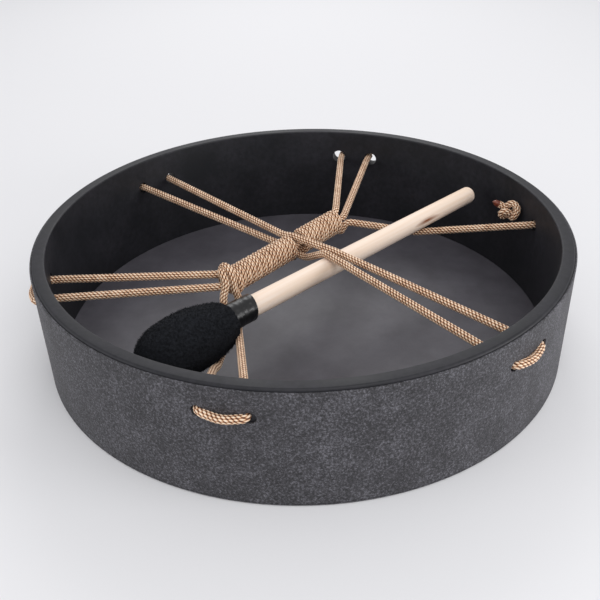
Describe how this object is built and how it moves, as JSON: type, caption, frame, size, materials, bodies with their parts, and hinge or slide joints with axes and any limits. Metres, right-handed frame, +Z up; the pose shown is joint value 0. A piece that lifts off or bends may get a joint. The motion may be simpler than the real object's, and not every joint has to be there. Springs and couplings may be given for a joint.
{
  "type": "buffalo drum",
  "caption": "Shallow round frame drum lying on its head, open back up, with a laced rope handle inside, rope loops round the hoop and a padded mallet pushed through the lacing.",
  "frame": {"origin": "middle of the head's underside, which lies on the table", "axes": "+Z up along the drum's axis, out of the open back; +Y away from the viewer, +X to the viewer's right"},
  "size_m": [0.4142, 0.4124, 0.092],
  "materials": {
    "painted_hoop": "matt black paint",
    "textured_head": "textured dark grey",
    "textured_side": "textured dark grey",
    "striking_film": "matt dark film",
    "rope": "solid braid, tan",
    "turned_wood": "clear lacquer on pale wood",
    "dense_foam": "dense foam",
    "black_fleece": "black fleece",
    "vinyl_tape": "glossy black tape"
  },
  "bodies": {
    "drum": {"shell_hoop": "painted_hoop", "head_cover": "textured_head", "head_film": "striking_film", "side_covering": "textured_side", "stopper_knot": "rope", "grip_winding_left": "rope", "grip_winding_right": "rope", "grip_core_strand_1": "rope", "grip_core_strand_2": "rope", "grip_core_strand_3": "rope", "rope_loop_back_left": "rope", "rope_loop_back": "rope", "rope_loop_right": "rope", "rope_loop_front_right": "rope", "rope_loop_front_left": "rope", "rope_loop_left": "rope", "rope_strand_left_1": "rope", "rope_strand_left_2": "rope", "rope_strand_front_left_1": "rope", "rope_strand_front_left_2": "rope", "rope_strand_front_right_1": "rope", "rope_strand_front_right_2": "rope", "rope_strand_right": "rope", "rope_strand_back_1": "rope", "rope_strand_back_2": "rope", "rope_strand_back_left_1": "rope", "rope_strand_back_left_2": "rope"},
    "mallet": {"mallet_shaft": "turned_wood", "mallet_head_core": "dense_foam", "mallet_fleece_cover": "black_fleece", "mallet_neck_tape": "vinyl_tape"}
  },
  "joints": [
    {"name": "mallet_slide", "type": "slide", "parent": "drum", "child": "mallet", "axis": [-0.7754, -0.6292, -0.053], "range_m": [0, 0.02]}
  ]
}
